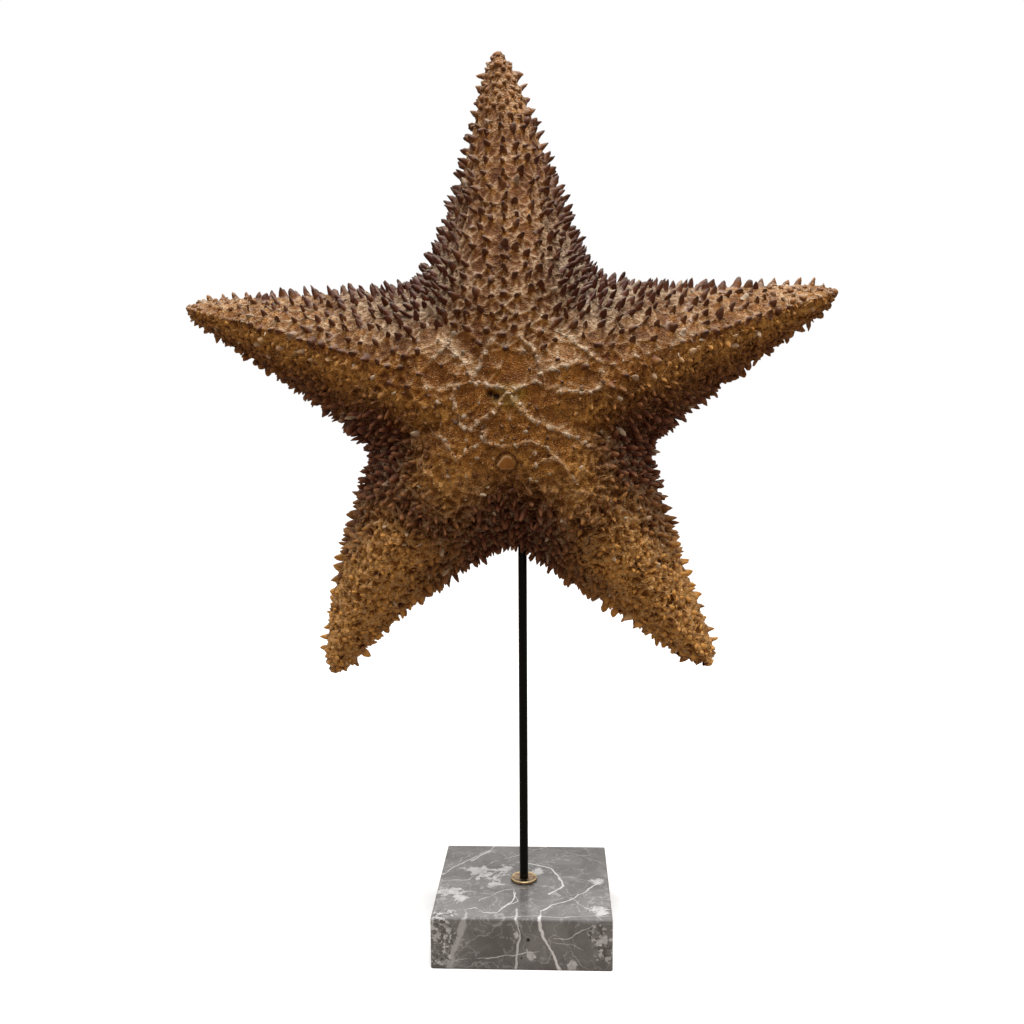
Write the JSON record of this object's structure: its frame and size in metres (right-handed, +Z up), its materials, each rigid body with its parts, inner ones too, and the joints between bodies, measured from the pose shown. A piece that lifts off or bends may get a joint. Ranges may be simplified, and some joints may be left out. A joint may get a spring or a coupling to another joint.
{
  "type": "dried starfish",
  "caption": "Dried cushion starfish with tapering, spiny arms, held upright on a slim black rod over a square marble block, as a shelf specimen.",
  "frame": {"origin": "centre of the marble block's underside", "axes": "+Z up along the rod, -Y out of the star's domed, spiny side, +X to the right as that side is seen"},
  "size_m": [0.3643, 0.1136, 0.5017],
  "materials": {
    "starfish_skin": "matte",
    "black_steel": "gloss",
    "brass": "satin",
    "marble": "polished"
  },
  "bodies": {
    "root": {"starfish": "starfish_skin", "rod": "black_steel", "collar": "brass", "base": "marble"}
  },
  "joints": []
}
